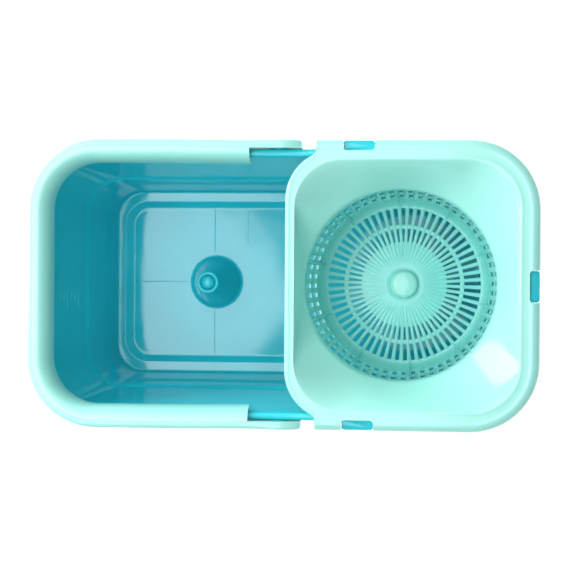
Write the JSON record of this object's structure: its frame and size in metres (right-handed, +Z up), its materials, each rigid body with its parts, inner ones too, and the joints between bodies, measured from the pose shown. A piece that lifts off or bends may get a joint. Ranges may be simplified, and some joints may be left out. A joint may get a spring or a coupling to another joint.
{
  "type": "spin mop bucket",
  "caption": "Rectangular wash-and-wring bucket with a tapered tub, a wash post, a slotted spin basket on a spindle, a lift-off splash guard and a fold-down channel handle.",
  "frame": {"origin": "middle of the footprint, on the surface that the feet stand on", "axes": "+X along the bucket from the wash side to the spin side, +Y across it, +Z up"},
  "size_m": [0.4808, 0.2724, 0.25],
  "materials": {
    "turquoise_plastic": "glossy moulded polypropylene",
    "mint_plastic": "glossy moulded polypropylene",
    "steel": "stainless steel",
    "nylon": "natural nylon",
    "rubber": "matt rubber"
  },
  "bodies": {
    "bucket": {"tub": "turquoise_plastic", "post_tip": "turquoise_plastic", "spindle": "steel", "thrust_washer": "nylon", "top_washer": "steel", "retaining_ring": "steel", "handle_pivot_cap_front": "mint_plastic", "handle_pivot_cap_back": "mint_plastic", "foot_front_left": "rubber", "foot_front_right": "rubber", "foot_back_left": "rubber", "foot_back_right": "rubber"},
    "carry_handle": {"handle": "mint_plastic"},
    "guard": {"splash_guard": "mint_plastic"},
    "spin_basket": {"basket": "mint_plastic", "lower_bush": "nylon", "upper_bush": "nylon", "hub_cap": "mint_plastic"},
    "drain": {"drain_plug": "turquoise_plastic", "drain_seal": "rubber"}
  },
  "joints": [
    {"name": "handle_swing", "type": "hinge", "parent": "bucket", "child": "carry_handle", "pos_m": [-0.0025, 0, 0.228], "axis": [0, 1, 0], "range_deg": [0, 90]},
    {"name": "basket_spin", "type": "hinge", "parent": "bucket", "child": "spin_basket", "pos_m": [0.111, 0, 0.112], "axis": [0, 0, 1], "continuous": true},
    {"name": "guard_lift", "type": "slide", "parent": "bucket", "child": "guard", "axis": [0, 0, 1], "range_m": [0, 0.15]},
    {"name": "drain_pull", "type": "slide", "parent": "bucket", "child": "drain", "axis": [1, 0, 0], "range_m": [0, 0.03]}
  ]
}
